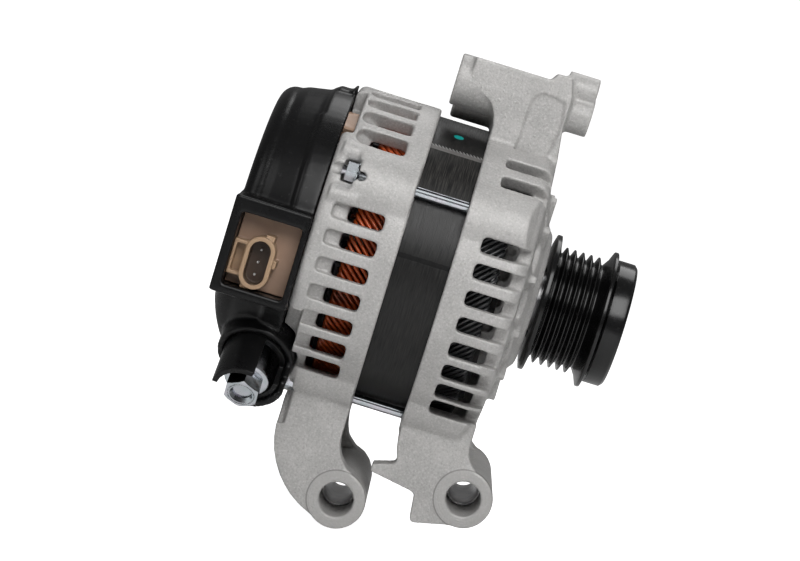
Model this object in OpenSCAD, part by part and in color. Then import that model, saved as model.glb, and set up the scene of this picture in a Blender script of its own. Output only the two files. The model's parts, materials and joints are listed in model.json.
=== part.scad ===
// Car alternator with claw-pole rotor, overrunning belt pulley and shrouded charging stud.
// The shaft lies along +X, pulley end at +X. The origin is on the shaft axis, in the belt's centre plane.
// +Z is up. Angles round the shaft are 0 at -Y and 90 at +Z.

/* [Stator] */
// Distance from the belt's centre plane back to the stator's middle
belt_offset = 64; // [64:0.5:66]
// Outside diameter of the lamination stack
stator_d = 126; // [125:0.1:126]
// Bore of the lamination stack
stator_bore_d = 102.2; // [102:0.1:103]
// Number of winding slots
stator_slots = 60; // [36:12:60]

/* [Brackets] */
// Outside diameter of both end brackets
bracket_d = 132; // [131:0.5:134]
// Width of a cooling slot
slot_w = 6; // [5:0.5:6.5]
// Radius at which the four long studs stand
stud_circle_r = 65.5; // [65.4:0.1:66]
// Diameter of a long stud
stud_d = 4.4; // [4:0.1:4.6]

/* [Mounting] */
// Radius of the lower ears
ear_r = 12.4; // [11.5:0.1:13]
// Entry bore of the lower ears
ear_bore_d = 14.6; // [14:0.1:15.5]
// Bore of the sleeves in the lower ears
bushing_bore_d = 12.4; // [11:0.1:12.8]
// Bore of the long upper boss
upper_bore_d = 10.6; // [8.4:0.1:12]

/* [Rotor] */
// Outside diameter of the claw poles
rotor_d = 101.2; // [100:0.1:101.4]
// Claws on each pole piece
claws = 8; // [6:1:8]
// Blades on each fan
fan_blades = 10; // [7:1:12]

/* [Pulley] */
// Outside diameter over the two flanges
pulley_d = 59.6; // [58:0.1:62]
// Diameter over the rib tips
rib_tip_d = 51.4; // [50:0.1:54]
// Belt ribs
ribs = 6; // [5:1:6]
// Distance from rib to rib
rib_pitch = 3.56; // [3.5:0.01:3.6]

/* [Charging stud] */
// Diameter of the charging stud
charge_stud_d = 8; // [6:0.5:8]
// Outside radius of the moulded collar
collar_r = 13; // [12.5:0.25:13]

/* [Hidden] */

$fn = 64;
fine = 96;
past = 1; // how far a cut runs past the face it opens

stator_r = stator_d / 2;
bracket_r = bracket_d / 2;
rotor_r = rotor_d / 2;
core_front = 16.5;
core_rear = -17.5;
seat_gap = 0.1;

front_face = 49.2;
front_edge = 10.4;
rear_edge = -11.5;
rear_face = -47.5;
cavity_r = 59;
stud_angles = [30, 116, 210, 296];
front_slot_angles = [55, 45,
    133, 142.6, 152.2, 161.8, 171.4, 181, 190.6, 228, 237.6];
upper_slot_angles = [46.3, 56.9, 67.5, 78.1, 88.7, 99.3];
rear_slot_angles = [135, 145.5, 156, 166.5, 177, 187.5, 230, 240.5];

front_slot_heights = [20.6, 9.9, -1.4, -12.5, -23.4, -33.4, -42.4, -50.4];
rear_slot_heights = [16.6, 5.8, -5.8, -17.2, -28.4, -38.8, -48.2];
side_slot_w = slot_w + 0.6;
upper_slot_w = slot_w + 2.8;

ear_near = -35;
ear_far = 33;
ear_plate = 10;
rear_ear = [-5.9, -100.8];
front_ear = [44.5, -84.9];
bushing_start = -11;

boss_y = -15;
boss_z = 80.5;
boss_r = 11;
boss_x = [-9.8, 27.7];
far_boss = [22, 72];
lug_z = 80.5;
lug_r = 7.9;
lug_x = [36, 48.6];

front_bearing = [31, 45];
front_bearing_r = 23.5;
rear_bearing = [-47, -36];
rear_bearing_r = 17.5;
front_ball = [16, 3.9];
rear_ball = [12.5, 3];
slot_depth = 6.5;
slot_cut_w = 2.8;
ball_gap = 0.3;
balls = 8;
front_mid = (front_bearing[0] + front_bearing[1]) / 2;
rear_mid = (rear_bearing[0] + rear_bearing[1]) / 2;
shaft_r = 10;
diode_angles = [127, 159, 191, 239, 265, 291];
diode_r = 38;
lead_angles = [141, 172, 250];
lead_r = 53.5;
claw_root = 12;

cover_front = -47.7;
cover_back = -78.6;
cover_wall = 2.5;
cover_stud_angles = [152, 222];
cover_stud_r = 48;
frame_x = [-79.6, -47.7];
frame_z = [-28.6, 11.6];
window_x = [-75.4, -50.2];
window_z = [-24.6, 5.4];

plug_x = -64;
plug_z = -13;
frame_face = -66;
plug_face = -65;
plug_floor = -56;

charge_tip = [-55.2, -60, -66.3];
charge_tilt = -51.1; // lean of the charging stud, about the shaft's direction
sleeve_r = collar_r + 3;
sleeve_room = sleeve_r + 0.6;
sleeve_depth = 8.5; // how far the sleeve's mouth stands back from the nut's face

ring_r = 7.5;
brush_x = [-55.5, -64.5];
brush_size = [5, 7, 15];
brush_gap = 0.3;
brush_play = 0.15;
spring_top = 34;

pulley_back = -13.3;
pulley_front = 14.3;
rim_bore_r = 16;
hub_r = 13;

cast_colour = "gainsboro";
plastic_colour = "#1d1d1f";
brown_colour = "#8a6c58";
zinc_colour = "lightsteelblue";
steel_colour = "silver";
copper_colour = "#a8491f";
black_steel = "#232325";

// Points on an arc of radius r about [cx, cy], from angle a to angle b
function arc(cx, cy, r, a, b, n = 6) =
    [for (i = [0 : n]) [cx + r * cos(a + (b - a) * i / n), cy + r * sin(a + (b - a) * i / n)]];

// Puts what is drawn from the stator's middle into the belt's frame
module in_place() {
    translate([-belt_offset, 0, 0]) children();
}

// Turns what is drawn along +Z so that it runs along the shaft
module along_shaft() {
    rotate([0, 90, 0]) children();
}

// Turns what stands at -Y to an angle round the shaft
module at_angle(a) {
    rotate([-a, 0, 0]) children();
}

// A turned shape from points given as [radius, place along the shaft]
module turned(points) {
    along_shaft() rotate_extrude($fn = fine) polygon(points);
}

// A ring between two radii and two places along the shaft
module ring(inner, outer, from, to) {
    turned([[inner, from], [outer, from], [outer, to], [inner, to]]);
}

// The part of a turned shape between two angles
module turned_sector(points, from, to) {
    along_shaft() rotate([0, 0, -90 - to]) rotate_extrude(angle = to - from, $fn = fine) polygon(points);
}

// A rod along the shaft's direction, standing at radius r and angle a
module rod_at(a, r, rod_r, from, to, sides = 0) {
    at_angle(a) translate([from, -r, 0]) along_shaft() cylinder(h = to - from, r = rod_r, $fn = sides > 0 ? sides : 48);
}

// A bar across the shaft, along Y, at x and z
module cross_rod(at, rod_r, from, to) {
    translate([at[0], to, at[1]]) rotate([90, 0, 0]) cylinder(h = to - from, r = rod_r, $fn = fine);
}

// A flat outline in X and Z, given a thickness along Y
module plate(points, from, to) {
    translate([0, to, 0]) rotate([90, 0, 0]) linear_extrude(to - from) polygon(points);
}

// A rectangle with round corners
module round_rect(l, w, r) {
    square([l - 2 * r, w], center = true);
    square([l, w - 2 * r], center = true);
    for (sx = [-1, 1], sy = [-1, 1])
        translate([sx * (l / 2 - r), sy * (w / 2 - r)]) circle(r, $fn = 24);
}

// A slot with round corners, cut inwards from outside radius to inside radius
module radial_slot(a, from, to, w, inner, outer, corner = 1.6) {
    at_angle(a) translate([(from + to) / 2, -outer, 0]) rotate([-90, 0, 0])
        linear_extrude(outer - inner) round_rect(to - from, w, corner);
}

// A slot of the near side, cut straight along Y at height z
module side_slot(z, from, to, w, inner, outer) {
    translate([0, 0, z]) radial_slot(0, from, to, w, inner, outer);
}

// A cut of constant width whose floor follows points given as [place along the shaft, radius]
module ramp_cut(a, points, w) {
    at_angle(a) translate([0, 0, -w / 2]) linear_extrude(w) polygon([for (p = points) [p[0], -p[1]]]);
}

// Places a shape drawn along +Z on the charging stud's axis: z = 0 at the nut's outer face, +z inwards
module on_charge_axis() {
    translate(charge_tip) rotate([charge_tilt, 0, 0]) children();
}

// ---- end brackets ----

// The bulge of casting that carries one long stud
module stud_bulge(a, from, to, rise = 0) {
    rod_at(a, 52 + rise, 18, from, to);
}

module front_shell() {
    turned(concat([[0, front_edge], [bracket_r - 0.6, front_edge], [bracket_r, front_edge + 0.6]],
        arc(bracket_r - 6, 34.8, 6, 0, 80),
        [[52, 41.6], [46, 42.6], [38, 44.2], [31.5, 46.8], [28.5, front_face], [0, front_face]]));
}

// Upper arm: a flank web with an S-shaped edge, the long boss, a far boss and the small lug
module upper_arm() {
    plate(concat([[10.4, 44], [10.4, 66.4]], arc(-3, 66.4, 13, 8, 48),
        [[-1.5, 80.6]], arc(-0.3, 86, 4, 200, 180, 2), [[-4.3, 91.5], [28, 91.5], [30, 94.6], [36, 94.8],
        [38.6, 86], [38.6, 73], [40.4, 60], [41.5, 44]]), boss_y - boss_r + 0.1, boss_y - 1);
    plate([[10.4, 44], [10.4, 66.4], [14, 76], [28, 84], [34, 84], [38.4, 73], [40.4, 60], [41.5, 44]], boss_y - 2, 4);
    plate([[10.4, 44], [10.4, 78], [20, 78], [30, 66], [34, 44]], far_boss[0] - 6, far_boss[0] + 4);
    plate([[10.4, 44], [10.4, 78], [16, 84], [22, 78], [24, 44]], 0, far_boss[0]);
    translate([boss_x[0], boss_y, boss_z]) along_shaft() cylinder(h = boss_x[1] - boss_x[0], r = boss_r, $fn = fine);
    translate([-8, far_boss[0], far_boss[1]]) along_shaft() cylinder(h = 32, r = 8.2);
    translate([lug_x[0], boss_y, lug_z]) along_shaft() cylinder(h = lug_x[1] - lug_x[0], r = lug_r);
    translate([lug_x[0] - 1, boss_y, lug_z + 10.6]) along_shaft() cylinder(h = lug_x[1] - lug_x[0] + 0.6, r = 6.3);
    translate([lug_x[0] - 4, boss_y - 5.2, lug_z]) cube([lug_x[1] - lug_x[0] + 3.2, 10.4, 10]);
    translate([lug_x[0] - 6.4, boss_y - 6.4, lug_z - 2]) cube([8, 12.8, 15.6]);
    translate([lug_x[0] - 9, boss_y, lug_z]) along_shaft() cylinder(h = 12, r = 9.4);
}

// Bores and the shallow panel of the upper arm
module upper_arm_cuts() {
    translate([boss_x[0] - past, boss_y, boss_z]) along_shaft()
        cylinder(h = lug_x[1] - boss_x[0] + 2 * past, r = upper_bore_d / 2, $fn = fine);
    translate([-8 - past, far_boss[0], far_boss[1]]) along_shaft() cylinder(h = 24, r = 4.2);
    plate([[22.6, 82], [26.2, 85.4], [31, 85.2], [36.8, 84], [38, 73.5], [36.6, 64], [35.6, 60.6], [33, 59],
        [22.7, 57], [18.4, 55.9], [21.2, 59.6], [22.2, 65.4], [22, 74]], boss_y - boss_r - past, boss_y - boss_r + 1.1);
}

// The near and far plates and the tube of the front lower ear
module front_ear_shape() {
    outline = [[10.6, -40], [11, -68], [12, -73.4], [13.3, -77.4], [13.2, -79.2], [4.2, -81.8], [4.2, -85.2],
        [22.6, -88.2], [24.4, -89], [25.6, -99.6], [26.8, -100.8], [43, -97], [54, -84], [47, -73], [43.4, -70],
        [41.6, -67.4], [40.8, -64], [40.8, -40]];
    far_outline = [[14, -40], [15, -68], [24, -80], [30, -96], [43, -97], [54, -84], [47, -73], [43.4, -70],
        [40.8, -64], [40.8, -40]];
    plate(outline, ear_near, ear_near + ear_plate);
    plate(far_outline, ear_far - ear_plate, ear_far);
    plate([[30, -40], [31, -76], [38, -92], [46, -92], [46, -76], [39, -68], [38, -40]], -26, 24);
    cross_rod(front_ear, ear_r, ear_near - 0.5, ear_far + 0.5);
}

module rear_ear_shape() {
    left = concat([[-41.2, -40], [-39.6, -56]], arc(-2.6, -75.5, 36.5, 176, 258, 10));
    right = [[-3, -92], [-2.8, -88.2], [-5.6, -87.2], [-8.6, -83.8], [-10.6, -80], [-11.4, -75.8], [-11.6, -40]];
    far_outline = concat([[-36, -40], [-35.6, -62]], arc(-2.6, -75.5, 33, 176, 250, 8),
        [[4, -95], [3.6, -92.3], [0.1, -89.2], [-4.7, -87.3], [-8.8, -83.5], [-10.4, -79.3], [-11.4, -74],
            [-11.7, -40]]);
    plate(concat(left, right), ear_near, ear_near + ear_plate);
    plate(far_outline, ear_far - ear_plate, ear_far);
    plate(concat([[-32, -40], [-31, -70]], arc(-2.6, -75.5, 29, 176, 240, 6),
        [[-8, -96], [-14, -86], [-19, -78], [-22, -66], [-22, -40]]), -26, 24);
    cross_rod(rear_ear, ear_r, ear_near - 0.5, ear_far + 0.5);
}

// Entry bore and the seat of the sleeve in a lower ear
module ear_bore(at) {
    cross_rod(at, ear_bore_d / 2, ear_near - 2, ear_far + 2);
}

module front_bracket() {
    color(cast_colour) in_place() difference() {
        union() {
            front_shell();
            intersection() {
                union() {
                    for (a = stud_angles) stud_bulge(a, front_edge, 44, a > 290 ? 2 : 0);
                }
                turned([[40, front_edge], [76, front_edge], [76, 31], [66, 37.8], [54, 40.6], [40, 43]]);
            }
            upper_arm();
            front_ear_shape();
            for (i = [0 : 11]) at_angle(i * 30 + 15) translate([41, -46, -1.6]) cube([4.8, 19, 3.2]);
        }
        turned([[0, front_edge - past], [stator_r + seat_gap, front_edge - past], [stator_r + seat_gap, core_front],
            [cavity_r, core_front], [cavity_r, 33.5], [55, 38], [48, 40], [33.4, 40], [33.4, front_bearing[0]],
            [0, front_bearing[0]]]);
        ring(0, front_bearing_r, front_bearing[0] - past, front_bearing[1]);
        ring(0, 13, front_bearing[0], front_face + past);
        for (a = front_slot_angles) {
            radial_slot(a, 20, 34.5, slot_w, 50, 82);
            ramp_cut(a, [[30, 60.6], [40, 58.8], [50, 56], [50, 80], [30, 80]], slot_w);
        }
        for (z = front_slot_heights) {
            side_slot(z, 19.6, 35, side_slot_w, 26, 90);
            intersection() {
                side_slot(z, 30, 54, side_slot_w - 0.4, 24, 90);
                turned([[60.6, 29], [58.8, 40], [54, 50], [54, 60], [90, 60], [90, 29]]);
            }
        }
        for (i = [0 : 11]) at_angle(i * 30) translate([38, -43.5, 0]) along_shaft()
            linear_extrude(12) rotate([0, 0, 90]) round_rect(13, 14, 3);
        for (a = stud_angles) rod_at(a, stud_circle_r, stud_d / 2, front_edge - past, 31);
        for (i = [0 : 3]) rod_at(i * 90 + 45, 28.5, 2, front_bearing[0] - past, 39);
        upper_arm_cuts();
        ear_bore(front_ear);
    }
}

module rear_bracket() {
    color(cast_colour) in_place() difference() {
        union() {
            turned(concat([[0, rear_face], [bracket_r - 3, rear_face]], arc(bracket_r - 3, rear_face + 3, 3, -90, 0, 4),
                [[bracket_r, rear_edge - 0.6], [bracket_r - 0.6, rear_edge], [0, rear_edge]]));
            for (a = stud_angles) stud_bulge(a, -37, rear_edge - 0.3, a > 290 ? 2 : 0);
            for (a = stud_angles, side = [-9.4, 8.4]) rod_at(a + side, 63.6, 4.6, rear_face + 2.5, -33);
            rear_ear_shape();
            turned([[12, -48.4], [21, -48.4], [24, -46.5], [12, -46.5]]);
        }
        turned([[0, -36], [23.5, -36], [23.5, -42.5], [50, -42.5], [55, -41.6], [cavity_r, -38], [cavity_r, core_rear],
            [stator_r + seat_gap, core_rear], [stator_r + seat_gap, rear_edge + past], [0, rear_edge + past]]);
        ring(0, rear_bearing_r, rear_bearing[0], -35);
        ring(0, 14.6, -50, -40);
        for (a = rear_slot_angles) {
            radial_slot(a, -32.5, -20.5, slot_w, 50, 82);
            intersection() {
                radial_slot(a, -40.8, -26, slot_w - 0.4, 53, 82);
                ramp_cut(a, [[-42, 64.6], [-36, 62.4], [-30, 56.5], [-24, 56.5], [-24, 82], [-42, 82]], slot_w + 1);
            }
        }
        for (a = upper_slot_angles) {
            radial_slot(a, -33.5, -20.5, upper_slot_w, 50, 82, 1.4);
            intersection() {
                radial_slot(a, -41.4, -26, upper_slot_w - 0.4, 53, 82, 3.4);
                ramp_cut(a, [[-43, 64], [-38, 61.4], [-31, 56.2], [-24, 56.2], [-24, 82], [-43, 82]], upper_slot_w + 1);
            }
        }
        for (z = rear_slot_heights) {
            side_slot(z, -35, -20, side_slot_w, 26, 90);
            intersection() {
                side_slot(z, -41.4, -26, side_slot_w - 0.4, 24, 90);
                turned([[63.6, -43], [62.2, -36], [60.4, -30], [60.4, -24], [90, -24], [90, -43]]);
            }
        }
        for (i = [0 : 8]) at_angle(i * 40 + 10) translate([-50, -39, 0]) along_shaft()
            linear_extrude(10) rotate([0, 0, 90]) round_rect(13, 16, 3);
        for (a = stud_angles) {
            rod_at(a, stud_circle_r, stud_d / 2 + 0.4, -50, rear_edge + past);
            at_angle(a) translate([-42.2, -84, -5.4]) cube([6.2, 24, 10.8]);
            at_angle(a - 2) translate([-34.2, -73, 0]) rotate([-90, 0, 0]) cylinder(h = 8, r = 2);
        }
        turned_sector([[56.6, -49], [76, -49], [76, -43], [56.6, -43]], 46, 76);
        turned_sector([[57, -49], [80, -49], [80, -41.2], [57, -41.2]], -64, -24);
        on_charge_axis() cylinder(h = 44, r = sleeve_room);
        for (a = lead_angles) rod_at(a, lead_r, 1.8, -50, -38);
        for (a = cover_stud_angles) rod_at(a, cover_stud_r, 2.5, -50, -44.5);
        ear_bore(rear_ear);
    }
}

module front_ear_bushing() {
    color(steel_colour) in_place() difference() {
        cross_rod(front_ear, ear_bore_d / 2, bushing_start, ear_far);
        cross_rod(front_ear, bushing_bore_d / 2, bushing_start - past, ear_far + past);
    }
}

module rear_ear_bushing() {
    color(steel_colour) in_place() difference() {
        cross_rod(rear_ear, ear_bore_d / 2, bushing_start, ear_far);
        cross_rod(rear_ear, bushing_bore_d / 2, bushing_start - past, ear_far + past);
    }
}

// ---- stator ----

module stator_core() {
    color(black_steel) in_place() translate([core_rear, 0, 0]) along_shaft()
        linear_extrude(core_front - core_rear) difference() {
            circle(stator_r, $fn = fine);
            circle(stator_bore_d / 2, $fn = fine);
            for (i = [0 : stator_slots - 1]) rotate(i * 360 / stator_slots)
                translate([stator_bore_d / 2 - past, -slot_cut_w / 2]) square([slot_depth + past, slot_cut_w]);
        }
}

module stator_conductors() {
    color(copper_colour) in_place() translate([core_rear, 0, 0]) along_shaft()
        linear_extrude(core_front - core_rear) for (i = [0 : stator_slots - 1]) rotate(i * 360 / stator_slots)
            translate([stator_bore_d / 2 + 0.8, -slot_cut_w / 2 + 0.3]) square([slot_depth - 1, slot_cut_w - 0.6]);
}

module front_winding() {
    color(copper_colour) in_place() turned([[52.2, core_front], [57.6, core_front], [58, 21], [57.4, 29],
        [55.8, 30.6], [53.4, 30.6], [52.2, 29]]);
}

module rear_winding() {
    color(copper_colour) in_place() turned([[52.2, core_rear], [52.2, -31], [53.4, -32.6], [55.8, -32.6],
        [57.4, -31], [58, -22], [57.6, core_rear]]);
}

module through_studs() {
    color(zinc_colour) in_place() for (a = stud_angles) rod_at(a, stud_circle_r, stud_d / 2, -42.6, 30);
}

module through_nuts() {
    color(zinc_colour) in_place() for (a = stud_angles) difference() {
        union() {
            rod_at(a, stud_circle_r, 4.5, -40.8, -36.4, 6);
            rod_at(a, stud_circle_r, 4.6, -36.4, -36);
        }
        rod_at(a, stud_circle_r, stud_d / 2, -45, -30);
    }
}

// ---- bearings ----

// Outer race: a ring with a ball groove
module outer_race(bore_r, ball, span) {
    mid = (span[0] + span[1]) / 2;
    difference() {
        ring(ball[0] + ball[1] * 0.75, bore_r, span[0], span[1]);
        along_shaft() translate([0, 0, mid]) rotate_extrude($fn = fine) translate([ball[0], 0]) circle(ball[1] + ball_gap);
    }
}

module inner_race(shaft, ball, span) {
    mid = (span[0] + span[1]) / 2;
    difference() {
        ring(shaft, ball[0] - ball[1] * 0.75, span[0], span[1]);
        along_shaft() translate([0, 0, mid]) rotate_extrude($fn = fine) translate([ball[0], 0]) circle(ball[1] + ball_gap);
    }
}

module ball_ring(ball, mid) {
    for (i = [0 : balls - 1]) at_angle(i * 360 / balls) translate([mid, -ball[0], 0]) sphere(ball[1], $fn = 32);
}

module cage(ball, mid) {
    difference() {
        ring(ball[0] - 0.9, ball[0] + 0.9, mid - ball[1] - 0.6, mid + ball[1] + 0.6);
        for (i = [0 : balls - 1]) at_angle(i * 360 / balls) translate([mid, -ball[0] - 3, 0])
            rotate([-90, 0, 0]) cylinder(h = 6, r = ball[1] + 0.05);
    }
}

module front_bearing_outer() {
    color(steel_colour) in_place() outer_race(front_bearing_r, front_ball, front_bearing);
}

module front_bearing_inner() {
    color(steel_colour) in_place() inner_race(8.5, front_ball, front_bearing);
}

module front_bearing_balls() {
    color(steel_colour) in_place() ball_ring(front_ball, front_mid);
}

module front_bearing_cage() {
    color("darkgoldenrod") in_place() cage(front_ball, front_mid);
}

module rear_bearing_outer() {
    color(steel_colour) in_place() outer_race(rear_bearing_r, rear_ball, rear_bearing);
}

module rear_bearing_inner() {
    color(steel_colour) in_place() inner_race(ring_r, rear_ball, rear_bearing);
}

module rear_bearing_balls() {
    color(steel_colour) in_place() ball_ring(rear_ball, rear_mid);
}

module rear_bearing_cage() {
    color("darkgoldenrod") in_place() cage(rear_ball, rear_mid);
}

module bearing_seals() {
    color(plastic_colour) in_place() {
        for (x = [front_bearing[0] + 0.1, front_bearing[1] - 0.9]) ring(13.6, 18.9, x, x + 0.8);
        for (x = [rear_bearing[0] + 0.1, rear_bearing[1] - 0.7]) ring(10.6, 14.7, x, x + 0.6);
    }
}

module bearing_retainer() {
    color(steel_colour) in_place() difference() {
        union() {
            ring(20, 27, 29, front_bearing[0]);
            for (i = [0 : 3]) rod_at(i * 90 + 45, 28, 4.8, 29, front_bearing[0]);
        }
        for (i = [0 : 3]) rod_at(i * 90 + 45, 28.5, 2.2, 28, 32);
    }
}

module retainer_screws() {
    color(zinc_colour) in_place() for (i = [0 : 3]) {
        rod_at(i * 90 + 45, 28.5, 3.6, 26.8, 29);
        rod_at(i * 90 + 45, 28.5, 2, 29, 38.4);
    }
}

// ---- rectifier ----

module diode_rods(rod_r, from, to) {
    for (a = diode_angles) rod_at(a, diode_r, rod_r, from, to);
}

module lead_rods(rod_r, from, to) {
    for (a = lead_angles) rod_at(a, lead_r, rod_r, from, to);
}

module cover_stud_rods(rod_r, from, to) {
    for (a = cover_stud_angles) rod_at(a, cover_stud_r, rod_r, from, to);
}

module negative_plate() {
    color(steel_colour) in_place() difference() {
        turned_sector([[24, -52.6], [57.5, -52.6], [57.5, -49.6], [24, -49.6]], 112, 300);
        diode_rods(6.4, -54, -48);
        lead_rods(1.8, -54, -48);
        cover_stud_rods(2.4, -54, -48);
        on_charge_axis() cylinder(h = 44, r = sleeve_room);
    }
}

module positive_plate() {
    color(steel_colour) in_place() difference() {
        union() {
            turned_sector([[24, -63.6], [45.4, -63.6], [45.4, -60.6], [24, -60.6]], 114, 304);
            at_angle(304.5) translate([-63.6, -52.6, -4.2]) cube([3, 13.6, 9]);
        }
        diode_rods(6.4, -65, -59);
    }
}

module negative_diodes() {
    color(copper_colour) in_place() {
        diode_rods(6.4, -56.6, -49.6);
        diode_rods(0.6, -59.6, -56.6);
    }
}

module positive_diodes() {
    color(copper_colour) in_place() {
        diode_rods(6.4, -68.6, -60.6);
        diode_rods(0.6, -60.6, -59.8);
    }
}

// Moulded carrier between the two plates, with a tab that shows at the bracket's rim
module terminal_block() {
    color(brown_colour) in_place() difference() {
        union() {
            turned_sector([[44, -58], [57, -58], [57, -53], [44, -53]], 50, 300);
            turned_sector([[30, -58], [45, -58], [45, -53], [30, -53]], 114, 300);
            turned_sector([[55, -56.8], [59.2, -56.8], [59.2, -47.6], [55, -47.6]], 50, 61);
            turned_sector([[57, -47.6], [62.4, -47.6], [62.4, -43.2], [57, -43.2]], 50, 61);
        }
        diode_rods(7, -60, -52);
        cover_stud_rods(2.4, -60, -52);
        on_charge_axis() cylinder(h = 44, r = sleeve_room);
    }
}

module phase_leads() {
    color(copper_colour) in_place() lead_rods(1, -53, -32.6);
}

// ---- regulator, plug and brushes ----

module voltage_regulator() {
    color(plastic_colour) in_place() {
        translate([-74, -50, -23]) cube([21, 20, 25]);
        for (i = [0 : 4]) translate([-73, -30, -22 + i * 5.4]) cube([19, 6, 1.8]);
    }
}

// An upright oval outline, its straight sides along the plug's height
module oval(w, h) {
    square([w, h - w], center = true);
    for (s = [-1, 1]) translate([0, s * (h - w) / 2]) circle(w / 2, $fn = 48);
}

module on_plug(face) {
    translate([plug_x, face, plug_z]) rotate([90, 0, 0]) children();
}

module connector_housing() {
    color(brown_colour) in_place() difference() {
        union() {
            translate([window_x[0] + 0.3, plug_floor, window_z[0] + 0.3])
                cube([window_x[1] - window_x[0] - 0.6, 3, window_z[1] - window_z[0] - 0.6]);
            translate([-73, plug_floor + 3, -22.4]) cube([19.4, 3, 24]);
            on_plug(plug_floor) linear_extrude(plug_floor - plug_face) oval(12, 21.6);
            on_plug(plug_floor) translate([-8.2, 0, 0]) linear_extrude(6.4) square([6, 14.4], center = true);
            on_plug(plug_floor) linear_extrude(7.4) {
                translate([2.4, 10.4]) square([3.6, 3], center = true);
                translate([-2.4, -10.2]) square([3.6, 2.2], center = true);
                translate([6.2, 1]) square([2.4, 3.4], center = true);
            }
        }
        on_plug(plug_floor + 1.2) linear_extrude(12) oval(8.4, 18);
        on_plug(plug_floor) translate([-8.3, 0, 1.4]) linear_extrude(8) square([3.4, 11.4], center = true);
    }
}

module connector_pins() {
    color(steel_colour) in_place() for (i = [-1 : 1])
        translate([plug_x - 0.4, plug_face + 4.8, plug_z + i * 5.15 - 0.4]) cube([0.8, 3, 0.8]);
}

module brush_holder() {
    color(plastic_colour) in_place() difference() {
        union() {
            translate([-70.6, -6.8, 9.8]) cube([20.4, 13.6, 27.6]);
            translate([-72.6, -24, 12]) cube([2, 34, 22]);
            translate([-72.6, -24, -2]) cube([2, 10, 15]);
        }
        for (x = brush_x) translate([x - brush_size[0] / 2 - brush_play, -brush_size[1] / 2 - brush_play, 8])
            cube([brush_size[0] + 2 * brush_play, brush_size[1] + 2 * brush_play, spring_top - 8]);
    }
}

module brush(x) {
    bottom = ring_r + brush_gap;
    color("dimgray") in_place() difference() {
        translate([x - brush_size[0] / 2, -brush_size[1] / 2, bottom - 1]) cube([brush_size[0], brush_size[1], brush_size[2] + 1]);
        ring(0, bottom, x - brush_size[0], x + brush_size[0]);
    }
}

module inner_brush() {
    brush(brush_x[0]);
}

module outer_brush() {
    brush(brush_x[1]);
}

// A brush spring, drawn as the sleeve that its coils fill
module brush_spring(x) {
    low = ring_r + brush_gap + brush_size[2];
    color(steel_colour) in_place() difference() {
        translate([x, 0, low]) cylinder(h = spring_top - low, r = 2.2);
        translate([x, 0, low - past]) cylinder(h = spring_top - low + 2 * past, r = 1.5);
    }
}

module inner_spring() {
    brush_spring(brush_x[0]);
}

module outer_spring() {
    brush_spring(brush_x[1]);
}

// ---- rear cover and charging stud ----

// The cover's side outline, which slopes in below the plug
module cover_slab(wall) {
    plate([[-40, 70], [-90, 70], [-90, -27], [-79 + wall, -31], [-76 + wall, -41], [-73.4 + wall, -48],
        [-66 + wall, -66], [-40, -66]], -70, 70);
}

module rear_cover() {
    color(plastic_colour) in_place() difference() {
        union() {
            difference() {
                intersection() {
                    turned(concat([[0, cover_front], [62.4, cover_front], [62, -57], [60.4, -58.2], [58.6, -68]],
                        arc(50.8, cover_back + 6.6, 6.6, 10, -90), [[0, cover_back]]));
                    cover_slab(0);
                }
                intersection() {
                    turned(concat([[0, cover_front + past], [59.8, cover_front + past], [59.5, -57], [57.9, -58.6],
                        [56, -68]], arc(50.8, cover_back + 6.6, 4.1, 10, -90), [[0, cover_back + cover_wall]]));
                    cover_slab(cover_wall);
                }
            }
            difference() {
                translate([frame_x[0], frame_face, frame_z[0]])
                    cube([frame_x[1] - frame_x[0], 30, frame_z[1] - frame_z[0]]);
                turned([[0, -30], [57, -30], [57, -72], [51, -77], [0, -77]]);
            }
            turned_sector([[61, -55.4], [63.2, -55.4], [63.2, -49.8], [65.6, -48.8], [65.2, -47.9], [62.4, -48.2],
                [61, -48.2]], 79, 93);
            on_charge_axis() difference() {
                translate([0, 0, sleeve_depth]) cylinder(h = 40 - sleeve_depth, r = sleeve_r);
                mouth_cut(22, 108, 355);
                mouth_cut(15, 354, 368);
            }
            cover_stud_rods(6, cover_back, -70);
        }
        translate([window_x[0], frame_face - past, window_z[0]])
            cube([window_x[1] - window_x[0], 44, window_z[1] - window_z[0]]);
        on_charge_axis() translate([0, 0, -20]) cylinder(h = 70, r = collar_r + 0.1);
        cover_stud_rods(2.3, -90, -55);
        for (i = [0 : 15]) at_angle(i * 15 + 97) translate([cover_back - past, -41, -1.8]) cube([5, 19, 3.6]);
    }
}

module cover_studs() {
    color(zinc_colour) in_place() cover_stud_rods(2, cover_back - 4.8, -45);
}

module cover_nuts() {
    color(zinc_colour) in_place() difference() {
        union() {
            for (a = cover_stud_angles) {
                rod_at(a, cover_stud_r, 4.5, cover_back - 4, cover_back - 0.6, 6);
                rod_at(a, cover_stud_r, 5, cover_back - 0.6, cover_back);
            }
        }
        cover_stud_rods(2, -90, -60);
    }
}

// Cuts the mouth of the collar back to a depth, between two angles round the charging axis
module mouth_cut(depth, from, to) {
    rotate([0, 0, from]) rotate_extrude(angle = to - from, $fn = fine)
        polygon([[collar_r - 5, -2], [sleeve_r + past, -2], [sleeve_r + past, depth], [collar_r - 5, depth]]);
}

// Black collar round the charging stud, with a guard that shields its upper side
module charge_collar() {
    color(plastic_colour) in_place() on_charge_axis() difference() {
        translate([0, 0, 1.4]) cylinder(h = 34.6, r = collar_r);
        translate([0, 0, -past]) cylinder(h = 25, r = collar_r - 2.4);
        mouth_cut(21, 284, 361);
        mouth_cut(10.5, 360, 466);
        mouth_cut(15, 105, 185);
        cylinder(h = 40, r = charge_stud_d / 2);
    }
}

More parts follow.
